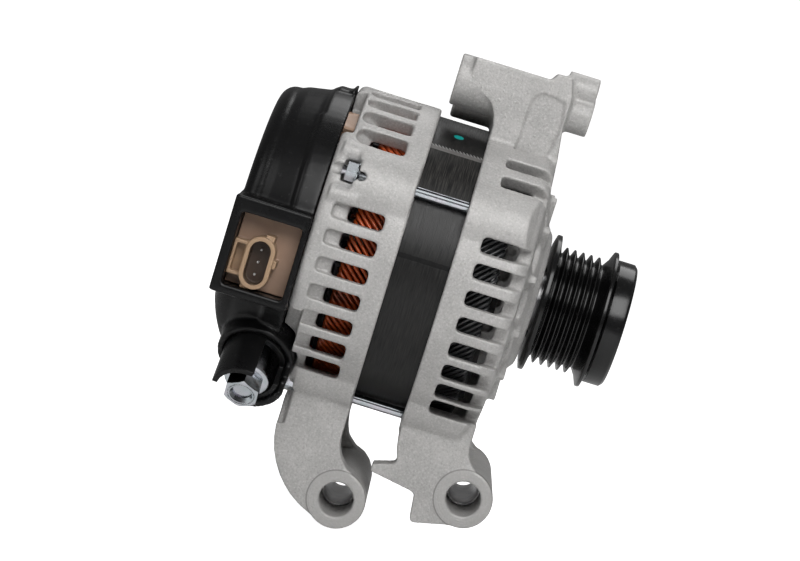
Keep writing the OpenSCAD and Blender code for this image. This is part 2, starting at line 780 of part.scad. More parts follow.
module charge_stud() {
    color(zinc_colour) in_place() on_charge_axis() {
        translate([0, 0, 2]) cylinder(h = 34.4, r = charge_stud_d / 2);
        translate([0, 0, 37.6]) cylinder(h = 3, r = 5.2, $fn = 6);
        translate([0, 0, 36.4]) cylinder(h = 1.2, r = charge_stud_d / 2);
    }
}

module charge_nut() {
    color(zinc_colour) in_place() on_charge_axis() difference() {
        union() {
            cylinder(h = 8.4, r = 7.7, $fn = 6);
            translate([0, 0, 8.4]) cylinder(h = 1.6, r = 9.2);
            translate([0, 0, 10]) cylinder(h = 13.6, r = 7);
        }
        translate([0, 0, -past]) cylinder(h = 26, r = charge_stud_d / 2);
    }
}

// Copper strap from the positive plate to the charging stud
module charge_strap() {
    color(copper_colour) in_place() difference() {
        union() {
            on_charge_axis() translate([0, 0, 36.4]) cylinder(h = 1.2, r = 5.2);
            on_charge_axis() translate([-5.4, -4, 36.4]) cube([9, 8, 1.2]);
        }
        on_charge_axis() translate([0, 0, 30]) cylinder(h = 10, r = charge_stud_d / 2);
    }
}

// ---- rotor ----

module rotor_shaft() {
    color(steel_colour) in_place() difference() {
        turned([[0, -70], [4.1, -70], [4.5, -69.4], [4.5, -48], [ring_r, -47.4], [ring_r, -36], [shaft_r, -36],
            [shaft_r, 31], [8.5, 31], [8.5, 50.8], [8, 50.8], [8, 74], [7.4, 74.6], [0, 74.6]]);
        translate([66, 0, 0]) along_shaft() cylinder(h = 12, r = 4, $fn = 6);
    }
}

// One pole piece, drawn for the front; the rear one is its mirror image, half a claw pitch round
module claw_pole() {
    step = 360 / claws;
    difference() {
        union() {
            turned([[0, 0], [25, 0], [25, 12], [31, 12], [31, 24], [0, 24]]);
            intersection() {
                turned([[28, 12.3], [28, 23.7], [rotor_r - 0.3, 23.7], [rotor_r, 23.4], [rotor_r, -19.4],
                    [rotor_r - 0.8, -20.4], [46, -20.4], [41, 12.3]]);
                for (i = [0 : claws - 1]) at_angle(i * step) translate([0, -60, 0]) rotate([-90, 0, 0])
                    linear_extrude(42) polygon([[26, -8.6], [26, 8.6], [11, 8.6], [-22, 4.2], [-22, -4.2], [11, -8.6]]);
            }
        }
        ring(0, shaft_r, -1, 25);
    }
}

module front_claw_pole() {
    color("dimgray") in_place() claw_pole();
}

module rear_claw_pole() {
    color("dimgray") in_place() at_angle(180 / claws) mirror([1, 0, 0]) claw_pole();
}

module coil_bobbin() {
    color(plastic_colour) in_place() difference() {
        ring(25, 39.6, -11.8, 11.8);
        ring(26.4, 41, -10.8, 10.8);
    }
}

module field_coil() {
    color(copper_colour) in_place() ring(26.4, 39, -10.8, 10.8);
}

// A pressed fan: a disc and its ring of swept blades
module fan(height) {
    difference() {
        union() {
            ring(shaft_r, 42, 0, 1.4);
            intersection() {
                ring(20, 49, 0, height);
                for (i = [0 : fan_blades - 1]) at_angle(i * 360 / fan_blades) {
                    translate([0, -38, 0]) rotate([28, 0, 0]) translate([0, -14, -0.7]) cube([height, 20, 1.4]);
                    translate([0, -48, -6.6]) cube([1.4, 12, 13.2]);
                }
            }
        }
        ring(0, shaft_r, -1, 2);
    }
}

module front_fan() {
    color("slategray") in_place() translate([24, 0, 0]) difference() {
        fan(9);
        ring(0, 35.4, 1.4, 12);
    }
}

module rear_fan() {
    color("slategray") in_place() translate([-24, 0, 0]) mirror([1, 0, 0]) difference() {
        fan(10.6);
        ring(0, 28, 1.4, 12);
    }
}

module slip_ring_sleeve() {
    color(plastic_colour) in_place() ring(4.5, 6.2, -69, -48.8);
}

module slip_rings() {
    color(copper_colour) in_place() for (x = brush_x) ring(6.2, ring_r, x - 3.2, x + 3.2);
}

module front_spacer() {
    color(steel_colour) in_place() ring(8.5, 12, front_bearing[1], 50.8);
}

// ---- pulley ----

module pulley_hub() {
    color(steel_colour) in_place() ring(8, hub_r, 50.8, 75);
}

module pulley_rim() {
    tip = rib_tip_d / 2;
    root = tip - 2.9;
    first = -(ribs - 1) / 2 * rib_pitch;
    edge = pulley_d / 2;
    grooves = [for (i = [0 : ribs - 1], p = [[root, -0.3], [root, 0.3], [tip, rib_pitch / 2 - 0.25], [tip, rib_pitch / 2 + 0.25]])
        if (i < ribs - 1 || p[0] == root) [p[0], first + i * rib_pitch + p[1]]];
    color(black_steel) turned(concat(
        [[rim_bore_r, pulley_back], [edge - 3, pulley_back], [edge, pulley_back + 0.8], [edge, pulley_back + 2.6],
            [tip, -10]], grooves,
        [[tip + 0.4, 11.4], [edge, pulley_front - 1.4], [edge, pulley_front], [24, pulley_front + 0.6], [24, 18.6],
            [rim_bore_r, 18.6]]));
}

module clutch_rollers() {
    color(steel_colour) {
        for (i = [0 : 11]) rod_at(i * 30, (rim_bore_r + hub_r + 0.3) / 2, (rim_bore_r - hub_r - 0.3) / 2, -4.4, 4.4);
    }
}

module pulley_bearings() {
    color(steel_colour) {
        ring(hub_r + 0.3, rim_bore_r, -11.6, -5.6);
        ring(hub_r + 0.3, rim_bore_r, 5.6, 10.6);
    }
}

module dust_cap() {
    color(black_steel) difference() {
        turned([[0, 23.6], [25.8, 23.6], [27, 22.4], [27, 15.7], [0, 15.7]]);
        turned([[0, 15], [24, 15], [24, 18.6], [23, 18.6], [22, 21.4], [0, 21.4]]);
    }
}

front_bracket();
rear_bracket();
front_ear_bushing();
rear_ear_bushing();
stator_core();
stator_conductors();
front_winding();
rear_winding();
through_studs();
through_nuts();
front_bearing_outer();
rear_bearing_outer();
bearing_seals();
bearing_retainer();
retainer_screws();
negative_plate();
positive_plate();
negative_diodes();
positive_diodes();
terminal_block();
phase_leads();
voltage_regulator();
connector_housing();
connector_pins();
brush_holder();
inner_spring();
outer_spring();
rear_cover();
cover_studs();
cover_nuts();
charge_collar();
charge_stud();
charge_strap();
charge_nut();
rotor_shaft();
front_claw_pole();
rear_claw_pole();
field_coil();
coil_bobbin();
front_fan();
rear_fan();
slip_ring_sleeve();
slip_rings();
front_spacer();
front_bearing_inner();
rear_bearing_inner();
pulley_hub();
front_bearing_balls();
front_bearing_cage();
rear_bearing_balls();
rear_bearing_cage();
inner_brush();
outer_brush();
pulley_rim();
clutch_rollers();
pulley_bearings();
dust_cap();
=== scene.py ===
import json
import math

import bpy
from mathutils import Matrix, Vector


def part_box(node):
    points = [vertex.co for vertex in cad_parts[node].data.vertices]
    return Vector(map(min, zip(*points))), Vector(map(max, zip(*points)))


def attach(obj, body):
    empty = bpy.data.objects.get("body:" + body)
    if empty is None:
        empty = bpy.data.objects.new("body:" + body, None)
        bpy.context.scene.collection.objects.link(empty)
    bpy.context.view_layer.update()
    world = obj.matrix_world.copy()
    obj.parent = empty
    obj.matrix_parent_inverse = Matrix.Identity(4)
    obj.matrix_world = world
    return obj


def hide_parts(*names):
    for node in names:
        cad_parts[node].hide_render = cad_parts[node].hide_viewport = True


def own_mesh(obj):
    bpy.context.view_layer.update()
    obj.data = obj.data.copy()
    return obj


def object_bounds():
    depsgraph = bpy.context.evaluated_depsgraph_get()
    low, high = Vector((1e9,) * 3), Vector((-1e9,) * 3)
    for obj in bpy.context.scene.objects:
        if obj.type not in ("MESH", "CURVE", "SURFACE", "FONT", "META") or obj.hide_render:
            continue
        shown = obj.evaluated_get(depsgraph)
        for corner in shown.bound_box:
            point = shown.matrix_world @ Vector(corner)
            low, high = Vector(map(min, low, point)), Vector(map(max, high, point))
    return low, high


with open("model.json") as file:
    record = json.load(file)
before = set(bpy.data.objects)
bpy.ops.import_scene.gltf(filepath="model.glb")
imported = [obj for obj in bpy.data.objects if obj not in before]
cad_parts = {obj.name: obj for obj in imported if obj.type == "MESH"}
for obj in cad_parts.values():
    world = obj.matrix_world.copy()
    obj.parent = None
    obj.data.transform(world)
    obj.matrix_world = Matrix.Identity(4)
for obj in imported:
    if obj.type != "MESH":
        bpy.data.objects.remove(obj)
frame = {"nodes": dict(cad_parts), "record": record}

bl_info = {
    "name": "Car alternator",
    "version": (1, 0, 0),
    "blender": (4, 5, 0),
    "location": "View3D > Sidebar > Alternator",
    "description": "Cast, wound and moulded pieces of a car alternator, with their finishes and a studio",
    "category": "Add Mesh",
}

CAD_BOX = [list(corner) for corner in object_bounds()]
STATOR_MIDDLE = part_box("stator_core")[1][0] - 0.0165
STATOR_RADIUS = 0.063
PLUG_FLOOR_Y = -0.056
PLUG_WELL_Y = -0.0644
EAR_FACE_Y = -0.0355
EAR_RADIUS = 0.0124
FRONT_EAR = (STATOR_MIDDLE + 0.0445, 0, -0.0849)
REAR_EAR = (STATOR_MIDDLE - 0.0059, 0, -0.1008)
CHARGE_TIP = (STATOR_MIDDLE - 0.0552, -0.060, -0.0663)
CHARGE_LEAN = math.radians(-51.1)
PLUG_MIDDLE = (STATOR_MIDDLE - 0.064, -0.013)
RIB_X = STATOR_MIDDLE - 0.0572
RIB_PATH_RADIUS = 0.0611
BRUSHES = {"inner_spring": "inner_brush_slide", "outer_spring": "outer_brush_slide"}
SOFTBOXES = (("top softbox", (0.0, -0.55, 0.44), 0.45, 3.3), ("left softbox", (-1.3, -1.0, 0.9), 0.8, 3.0),
             ("right softbox", (1.2, -0.9, 0.7), 0.7, 2.2), ("back softbox", (0.0, 0.5, 0.9), 0.6, 3.0))


# ---- settings ----

class CastingSettings(bpy.types.PropertyGroup):
    """Sizes and colours of the two cast end brackets"""
    grain: bpy.props.FloatProperty(
        name="Mesh grain", description="Size of the mesh cells that the castings are rebuilt from",
        default=0.0007, min=0.0004, max=0.002, subtype="DISTANCE", unit="LENGTH")
    rounding: bpy.props.IntProperty(
        name="Edge rounding", description="Passes of smoothing that round the cast edges",
        default=4, min=0, max=30)
    metal: bpy.props.FloatVectorProperty(
        name="Cast metal", description="Colour of the blasted aluminium",
        default=(0.45, 0.442, 0.432), subtype="COLOR", min=0, max=1)
    # Besides the pores' own darker tone, this colour is also used for the painted shade in the castings'
    # hollows.
    hollows: bpy.props.FloatVectorProperty(
        name="Hollows", description="Colour of the aluminium in hollows and pores",
        default=(0.25, 0.24, 0.23), subtype="COLOR", min=0, max=1)


class CoverSettings(bpy.types.PropertyGroup):
    """Sizes and colours of the moulded rear cover, the collar and the plug"""
    grain: bpy.props.FloatProperty(
        name="Cover mesh grain", description="Size of the mesh cells of the rear cover",
        default=0.0007, min=0.0004, max=0.002, subtype="DISTANCE", unit="LENGTH")
    plug_grain: bpy.props.FloatProperty(
        name="Plug mesh grain", description="Size of the mesh cells of the plug and the collar",
        default=0.00028, min=0.0002, max=0.001, subtype="DISTANCE", unit="LENGTH")
    rib_radius: bpy.props.FloatProperty(
        name="Rib thickness", description="Radius of the thin rib round the cover",
        default=0.0007, min=0.0004, max=0.002, subtype="DISTANCE", unit="LENGTH")
    black: bpy.props.FloatVectorProperty(
        name="Cover black", description="Colour of the moulded cover",
        default=(0.0042, 0.0042, 0.0045), subtype="COLOR", min=0, max=1)
    shell: bpy.props.FloatVectorProperty(
        name="Plug shell", description="Colour of the plug's raised shell",
        default=(0.37, 0.245, 0.15), subtype="COLOR", min=0, max=1)
    # The base plate's colour is lighter than the plastic's own brown, to stand in for light that does not
    # reach the plug's window: partly painted light.
    base: bpy.props.FloatVectorProperty(
        name="Plug base", description="Colour of the plug's base plate",
        default=(0.36, 0.235, 0.165), subtype="COLOR", min=0, max=1)


class WindingSettings(bpy.types.PropertyGroup):
    """Sizes and colours of the end windings and the brush springs"""
    wires: bpy.props.IntProperty(
        name="Hairpins", description="Hairpin wires at each end of the stator",
        default=120, min=24, max=144)
    wire_radius: bpy.props.FloatProperty(
        name="Wire radius", description="Radius of one wire",
        default=0.00078, min=0.0004, max=0.0012, subtype="DISTANCE", unit="LENGTH")
    lean: bpy.props.FloatProperty(
        name="Lean", description="How far round the shaft a wire leans on its way out",
        default=math.radians(13), subtype="ANGLE")
    spring_turns: bpy.props.FloatProperty(
        name="Spring turns", description="Turns of a brush spring",
        default=7, min=3, max=12)
    enamel: bpy.props.FloatVectorProperty(
        name="Enamel", description="Colour of the enamelled copper",
        default=(0.62, 0.105, 0.018), subtype="COLOR", min=0, max=1)
    varnish: bpy.props.FloatVectorProperty(
        name="Varnish", description="Colour of the varnished front winding",
        default=(0.085, 0.088, 0.092), subtype="COLOR", min=0, max=1)


class StudioSettings(bpy.types.PropertyGroup):
    """Camera, light and floor"""
    aim: bpy.props.FloatVectorProperty(
        name="Aim", description="Point the camera looks at",
        default=(-0.07132, 0, -0.00886), subtype="TRANSLATION", unit="LENGTH")
    distance: bpy.props.FloatProperty(
        name="Distance", description="Camera distance",
        default=1.00085, unit="LENGTH")
    pitch: bpy.props.FloatProperty(
        name="Pitch", description="How far the camera looks down",
        default=math.radians(5.5), subtype="ANGLE")
    roll: bpy.props.FloatProperty(
        name="Roll", description="Turn of the camera about its own view",
        subtype="ANGLE", default=math.radians(17.15))
    lens: bpy.props.FloatProperty(
        name="Lens", description="Focal length in millimetres",
        default=105.525, min=20, max=300)
    ambient: bpy.props.FloatProperty(
        name="Ambient", description="Brightness of the light that comes from all round",
        default=0.15, min=0, max=5)
    floor: bpy.props.FloatVectorProperty(
        name="Floor", description="Colour of the floor",
        default=(0.93, 0.93, 0.93), subtype="COLOR", min=0, max=1)


# ---- modelling helpers ----

def settings(group):
    return getattr(bpy.context.scene, "alternator_" + group)


def pick(*things):
    """Selects only these objects and makes the first one active."""
    bpy.ops.object.select_all(action="DESELECT")
    for thing in things:
        thing.select_set(True)
    bpy.context.view_layer.objects.active = things[0]


def edit_all(thing):
    pick(thing)
    bpy.ops.object.mode_set(mode="EDIT")
    bpy.ops.mesh.select_all(action="SELECT")


def leave_edit():
    bpy.ops.object.mode_set(mode="OBJECT")


def apply_modifier(thing, kind, **values):
    pick(thing)
    modifier = thing.modifiers.new(kind.title(), kind)
    for name, value in values.items():
        setattr(modifier, name, value)
    bpy.ops.object.modifier_apply(modifier=modifier.name)


def seat(thing):
    """Moves an object's place into its mesh."""
    pick(thing)
    bpy.ops.object.transform_apply(location=True, rotation=True, scale=True)


def node_copy(node, name):
    """A new object with a merged copy of a CAD node's mesh."""
    mesh = frame["nodes"][node].data.copy()
    mesh.materials.clear()
    piece = bpy.data.objects.new(name, mesh)
    bpy.context.scene.collection.objects.link(piece)
    edit_all(piece)
    bpy.ops.mesh.remove_doubles(threshold=1e-6)
    leave_edit()
    return piece


def soften(piece, grain, passes, most=190000):
    """Rebuilds a shape as one even skin, rounds its edges and thins the mesh again."""
    apply_modifier(piece, "REMESH", mode="VOXEL", voxel_size=grain, adaptivity=0)
    apply_modifier(piece, "SMOOTH", factor=0.5, iterations=passes)
    triangles = 2 * len(piece.data.polygons)
    if triangles > most:
        apply_modifier(piece, "DECIMATE", decimate_type="COLLAPSE", ratio=most / triangles)
    pick(piece)
    bpy.ops.object.shade_smooth()


def tube(name, points, radius, sides=8):
    """A round wire that follows points."""
    bpy.ops.object.select_all(action="DESELECT")
    bpy.ops.curve.primitive_nurbs_path_add()
    wire = bpy.context.object
    wire.name = name
    curve = wire.data
    curve.splines.clear()
    spline = curve.splines.new("POLY")
    spline.points.add(len(points) - 1)
    for point, place in zip(spline.points, points):
        point.co = (*place, 1)
    curve.dimensions = "3D"
    curve.bevel_depth = radius
    curve.bevel_resolution = max(0, (sides - 4) // 2)
    curve.use_fill_caps = True
    bpy.ops.object.convert(target="MESH")
    return bpy.context.object


def turned_piece(name, profile, steps=64):
    """A ring turned about Z from a closed profile of (radius, height) points."""
    bpy.ops.object.select_all(action="DESELECT")
    bpy.ops.mesh.primitive_circle_add(vertices=steps, radius=profile[0][0], location=(0, 0, profile[0][1]))
    piece = bpy.context.object
    piece.name = name
    edit_all(piece)
    last = profile[0]
    for radius, height in profile[1:] + profile[:1]:
        bpy.ops.mesh.extrude_edges_move()
        bpy.ops.transform.translate(value=(0, 0, height - last[1]))
        share = radius / last[0]
        bpy.ops.transform.resize(value=(share, share, 1), center_override=(0, 0, height))
        last = (radius, height)
    bpy.ops.mesh.select_all(action="SELECT")
    bpy.ops.mesh.remove_doubles(threshold=1e-6)
    bpy.ops.mesh.normals_make_consistent(inside=False)
    leave_edit()
    seat(piece)
    return piece


def on_charge_axis(piece):
    """Puts a piece made about Z on the charging stud's axis."""
    piece.matrix_world = Matrix.Translation(CHARGE_TIP) @ Matrix.Rotation(CHARGE_LEAN, 4, "X")
    seat(piece)


def finish_piece(piece, nodes, body, material, angle=None):
    """Gives a new piece its material and its body, and hides the CAD nodes that it stands for."""
    piece.data.materials.clear()
    piece.data.materials.append(material)
    if angle is not None:
        pick(piece)
        bpy.ops.object.shade_smooth_by_angle(angle=math.radians(angle))
    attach(piece, body)
    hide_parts(*nodes)


# ---- shader node helpers ----

def link_value(tree, value, socket):
    """Connects a node's output to a socket, or sets the socket to a number or colour."""
    if isinstance(value, bpy.types.NodeSocket):
        tree.links.new(value, socket)
    else:
        socket.default_value = value


def calc(tree, operation, first, second=None, third=None, clamp=False):
    node = tree.nodes.new("ShaderNodeMath")
    node.operation = operation
    node.use_clamp = clamp
    for value, socket in zip((first, second, third), node.inputs):
        if value is not None:
            link_value(tree, value, socket)
    return node.outputs[0]


def fade(tree, value, start, end):
    """0 before start and 1 past end."""
    node = tree.nodes.new("ShaderNodeMapRange")
    node.clamp = True
    link_value(tree, value, node.inputs["Value"])
    node.inputs["From Min"].default_value = start
    node.inputs["From Max"].default_value = end
    return node.outputs["Result"]


def blend_colours(tree, share, first, second):
    node = tree.nodes.new("ShaderNodeMix")
    node.data_type = "RGBA"
    link_value(tree, share, node.inputs[0])
    for value, socket in ((first, node.inputs[6]), (second, node.inputs[7])):
        link_value(tree, value if isinstance(value, bpy.types.NodeSocket) else (*value, 1), socket)
    return node.outputs[2]


def scaled(colour, share):
    """A lighter or darker version of a colour."""
    return [min(1, channel * share) for channel in colour]


def weaken(tree, mask, share):
    return calc(tree, "MULTIPLY", mask, share)


def place(tree):
    return tree.nodes.new("ShaderNodeTexCoord").outputs["Object"]


def new_group(name, inputs, outputs):
    """An empty shader node group, with its own ends."""
    group = bpy.data.node_groups.new(name, "ShaderNodeTree")
    for socket, kind, default in inputs:
        made = group.interface.new_socket(socket, in_out="INPUT", socket_type="NodeSocket" + kind)
        if default is not None:
            made.default_value = default
    for socket, kind in outputs:
        group.interface.new_socket(socket, in_out="OUTPUT", socket_type="NodeSocket" + kind)
    return group, group.nodes.new("NodeGroupInput").outputs, group.nodes.new("NodeGroupOutput").inputs


def use_group(tree, name, **values):
    """Places a group and sets or links its inputs; input names have spaces for underscores."""
    node = tree.nodes.new("ShaderNodeGroup")
    node.node_tree = bpy.data.node_groups[name]
    for socket, value in values.items():
        link_value(tree, value, node.inputs[socket.replace("_", " ")])
    return node.outputs


def noise(tree, vector, scale, detail=2, roughness=0.5):
    node = tree.nodes.new("ShaderNodeTexNoise")
    link_value(tree, vector, node.inputs["Vector"])
    link_value(tree, scale, node.inputs["Scale"])
    node.inputs["Detail"].default_value = detail
    node.inputs["Roughness"].default_value = roughness
    return node.outputs["Fac"]


def parts_of(tree, vector):
    node = tree.nodes.new("ShaderNodeSeparateXYZ")
    link_value(tree, vector, node.inputs[0])
    return node.outputs


def joined(tree, x, y, z):
    node = tree.nodes.new("ShaderNodeCombineXYZ")
    for value, socket in zip((x, y, z), node.inputs):
        link_value(tree, value, socket)
    return node.outputs[0]


def distance(tree, first, second):
    """How far a point is from the origin of two axes."""
    squares = calc(tree, "MULTIPLY", first, first), calc(tree, "MULTIPLY", second, second)
    return calc(tree, "SQRT", calc(tree, "ADD", *squares))


def bump(tree, height, strength, depth, normal=None):
    node = tree.nodes.new("ShaderNodeBump")
    node.inputs["Strength"].default_value = strength
    node.inputs["Distance"].default_value = depth
    link_value(tree, height, node.inputs["Height"])
    if normal is not None:
        link_value(tree, normal, node.inputs["Normal"])
    return node.outputs["Normal"]


def build_groups():
    """Surface effects that several finishes share."""
    group, ends, out = new_group("blasted grain", (("Vector", "Vector", None), ("Scale", "Float", 900.0)),
                                 (("Grain", "Float"), ("Mottle", "Float"), ("Pores", "Float")))
    fine = noise(group, ends["Vector"], ends["Scale"], 3, 0.65)
    broad = noise(group, ends["Vector"], calc(group, "MULTIPLY", ends["Scale"], 0.055), 3, 0.6)
    pits = noise(group, ends["Vector"], calc(group, "MULTIPLY", ends["Scale"], 0.42), 1, 0.5)
    group.links.new(fine, out["Grain"])
    group.links.new(fade(group, broad, 0.3, 0.72), out["Mottle"])
    group.links.new(fade(group, pits, 0.69, 0.76), out["Pores"])

    # Painted highlight on sharp convex edges and painted shade in hollows, both read from the mesh's
    # pointiness with a little noise.
    group, ends, out = new_group("edge highlight and shade", (("Vector", "Vector", None), ("Scale", "Float", 300.0)),
                                 (("Edges", "Float"), ("Hollows", "Float")))
    point = group.nodes.new("ShaderNodeNewGeometry").outputs["Pointiness"]
    uneven = calc(group, "MULTIPLY", noise(group, ends["Vector"], ends["Scale"], 2), 0.04)
    shape = calc(group, "ADD", point, calc(group, "SUBTRACT", uneven, 0.02))
    group.links.new(fade(group, shape, 0.515, 0.58), out["Edges"])
    group.links.new(fade(group, shape, 0.485, 0.42), out["Hollows"])

    group, ends, out = new_group("turning marks", (("Vector", "Vector", None), ("Pitch", "Float", 0.0004)),
                                 (("Rings", "Float"), ("Radius", "Float")))
    x, y, z = parts_of(group, ends["Vector"])
    radius = distance(group, x, z)
    turns = calc(group, "DIVIDE", radius, ends["Pitch"])
    rings = calc(group, "SINE", calc(group, "MULTIPLY", turns, 2 * math.pi))
    group.links.new(fade(group, rings, -1, 1), out["Rings"])
    group.links.new(radius, out["Radius"])

    group, ends, out = new_group("round the shaft", (("Vector", "Vector", None),),
                                 (("Along", "Float"), ("Angle", "Float"), ("Streaks", "Float")))
    x, y, z = parts_of(group, ends["Vector"])
    angle = calc(group, "ARCTAN2", z, calc(group, "MULTIPLY", y, -1))
    unrolled = joined(group, calc(group, "MULTIPLY", x, 2600), calc(group, "MULTIPLY", angle, 7), 0)
    group.links.new(x, out["Along"])
    group.links.new(angle, out["Angle"])
    group.links.new(noise(group, unrolled, 1.0, 2, 0.6), out["Streaks"])


def new_material(name, metallic=0.0, roughness=0.5, **sockets):
    material = bpy.data.materials.new(name)
    material.use_nodes = True
    shader = material.node_tree.nodes["Principled BSDF"]
    shader.inputs["Metallic"].default_value = metallic
    shader.inputs["Roughness"].default_value = roughness
    for socket, value in sockets.items():
        shader.inputs[socket.replace("_", " ")].default_value = value
    return material, material.node_tree, shader


def finish_casting():
    casting = settings("castings")
    material, tree, shader = new_material("blasted aluminium", metallic=0.22)
    grain = use_group(tree, "blasted grain", Vector=place(tree), Scale=1150.0)
    highlight_and_shade = use_group(tree, "edge highlight and shade", Vector=place(tree), Scale=420.0)
    colour = blend_colours(tree, grain["Mottle"], scaled(casting.metal, 0.88), scaled(casting.metal, 1.08))
    colour = blend_colours(tree, weaken(tree, fade(tree, grain["Grain"], 0.53, 0.68), 0.5), colour,
                           scaled(casting.metal, 1.45))
    colour = blend_colours(tree, weaken(tree, fade(tree, grain["Grain"], 0.46, 0.3), 0.5), colour,
                           casting.hollows)
    # Convex edges are painted lighter as a painted highlight, and hollows darker as painted shade.
    colour = blend_colours(tree, weaken(tree, highlight_and_shade["Edges"], 0.45), colour, scaled(casting.metal, 1.3))
    colour = blend_colours(tree, weaken(tree, highlight_and_shade["Hollows"], 0.55), colour, casting.hollows)
    x, y, z = parts_of(tree, place(tree))
    near = fade(tree, y, EAR_FACE_Y + 0.0009, EAR_FACE_Y + 0.0005)
    faces = rings = outline = None
    for ear in (FRONT_EAR, REAR_EAR):
        centred = joined(tree, calc(tree, "SUBTRACT", x, ear[0]), 0, calc(tree, "SUBTRACT", z, ear[2]))
        marks = use_group(tree, "turning marks", Vector=centred, Pitch=0.0011)
        here = calc(tree, "MULTIPLY", fade(tree, marks["Radius"], EAR_RADIUS, EAR_RADIUS - 0.0003), near)
        from_edge = calc(tree, "ABSOLUTE", calc(tree, "SUBTRACT", marks["Radius"], EAR_RADIUS + 0.00005))
        line = fade(tree, from_edge, 0.0004, 0.0002)
        outline = line if outline is None else calc(tree, "MAXIMUM", outline, line)
        made = calc(tree, "MULTIPLY", marks["Rings"], here)
        faces = here if faces is None else calc(tree, "MAXIMUM", faces, here)
        rings = made if rings is None else calc(tree, "MAXIMUM", rings, made)
    colour = blend_colours(tree, weaken(tree, faces, 0.6), colour, scaled(casting.metal, 0.97))
    outline = calc(tree, "MULTIPLY", outline, fade(tree, y, EAR_FACE_Y + 0.0019, EAR_FACE_Y + 0.0014))
    colour = blend_colours(tree, weaken(tree, outline, 0.6), colour, scaled(casting.hollows, 0.6))
    tree.links.new(colour, shader.inputs["Base Color"])
    rough = calc(tree, "MULTIPLY_ADD", grain["Grain"], 0.2, 0.42)
    rough = calc(tree, "SUBTRACT", rough, calc(tree, "MULTIPLY", faces, 0.12))
    tree.links.new(rough, shader.inputs["Roughness"])
    skin = bump(tree, grain["Grain"], 0.4, 0.0003)
    skin = bump(tree, grain["Pores"], 0.5, 0.00025, skin)
    tree.links.new(bump(tree, rings, 0.35, 0.0001, skin), shader.inputs["Normal"])
    return material


def finish_laminations():
    material, tree, shader = new_material("painted laminations", metallic=0.15, Specular_IOR_Level=0.35)
    around = use_group(tree, "round the shaft", Vector=place(tree))
    grain = use_group(tree, "blasted grain", Vector=place(tree), Scale=700.0)
    streaks = fade(tree, around["Streaks"], 0.35, 0.75)
    colour = blend_colours(tree, streaks, (0.006, 0.006, 0.0062), (0.021, 0.0205, 0.0195))
    arc = calc(tree, "MULTIPLY", around["Angle"], STATOR_RADIUS)

    def band(degrees, half_width, soft=0.0002):
        off = calc(tree, "ABSOLUTE", calc(tree, "SUBTRACT", arc, math.radians(degrees) * STATOR_RADIUS))
        return fade(tree, off, half_width + soft, half_width)

    # A lighter, brownish band with streaks along the stator at 46 degrees: a painted sheen.
    sheen_band = calc(tree, "MULTIPLY", band(46, 0.0085, 0.009), fade(tree, around["Streaks"], 0.45, 0.8))
    colour = blend_colours(tree, weaken(tree, sheen_band, 0.5), colour, (0.09, 0.082, 0.072))
    weld = band(54.6, 0.0011)
    hatch = calc(tree, "SINE", calc(tree, "ADD", calc(tree, "MULTIPLY", around["Along"], 4200),
                                    calc(tree, "MULTIPLY", arc, 3000)))
    hatched = calc(tree, "MULTIPLY", band(55.9, 0.0006), fade(tree, hatch, -0.2, 0.5))
    colour = blend_colours(tree, weaken(tree, weld, 0.85), colour, (0.16, 0.155, 0.15))
    colour = blend_colours(tree, hatched, colour, (0.24, 0.235, 0.23))
    # A groove at 6.5 degrees, painted near-black as painted shade and sunk by the bump below.
    groove = band(6.5, 0.0009)
    colour = blend_colours(tree, groove, colour, (0.0012, 0.0012, 0.0012))
    across = calc(tree, "DIVIDE", calc(tree, "SUBTRACT", around["Along"], STATOR_MIDDLE - 0.0015), 0.0021)
    along = calc(tree, "DIVIDE", calc(tree, "SUBTRACT", arc, math.radians(66) * STATOR_RADIUS), 0.0017)
    spot = calc(tree, "ADD", calc(tree, "MULTIPLY", across, across), calc(tree, "MULTIPLY", along, along))
    spot = fade(tree, calc(tree, "ADD", spot, calc(tree, "MULTIPLY", grain["Mottle"], 0.25)), 1.15, 1.0)
    colour = blend_colours(tree, spot, colour, (0.005, 0.36, 0.33))
    tree.links.new(colour, shader.inputs["Base Color"])
    rough = calc(tree, "MULTIPLY_ADD", streaks, 0.22, 0.3)
    tree.links.new(rough, shader.inputs["Roughness"])
    height = calc(tree, "SUBTRACT", around["Streaks"], calc(tree, "MULTIPLY", groove, 3))
    height = calc(tree, "ADD", height, calc(tree, "MULTIPLY", weld, 1.2))
    tree.links.new(bump(tree, height, 0.5, 0.00018), shader.inputs["Normal"])
    return material


def finish_wire(name, colour, dark, gloss):
    material, tree, shader = new_material(name, metallic=0.25, Coat_Weight=gloss, Coat_Roughness=0.12)
    grain = use_group(tree, "blasted grain", Vector=place(tree), Scale=420.0)
    broad = noise(tree, place(tree), 95.0, 2)
    tint = blend_colours(tree, fade(tree, broad, 0.36, 0.64), dark, colour)
    tint = blend_colours(tree, weaken(tree, grain["Pores"], 0.4), tint, scaled(colour, 0.3))
    tree.links.new(tint, shader.inputs["Base Color"])
    tree.links.new(calc(tree, "MULTIPLY_ADD", grain["Grain"], 0.25, 0.22), shader.inputs["Roughness"])
    tree.links.new(bump(tree, grain["Grain"], 0.25, 0.00012), shader.inputs["Normal"])
    return material


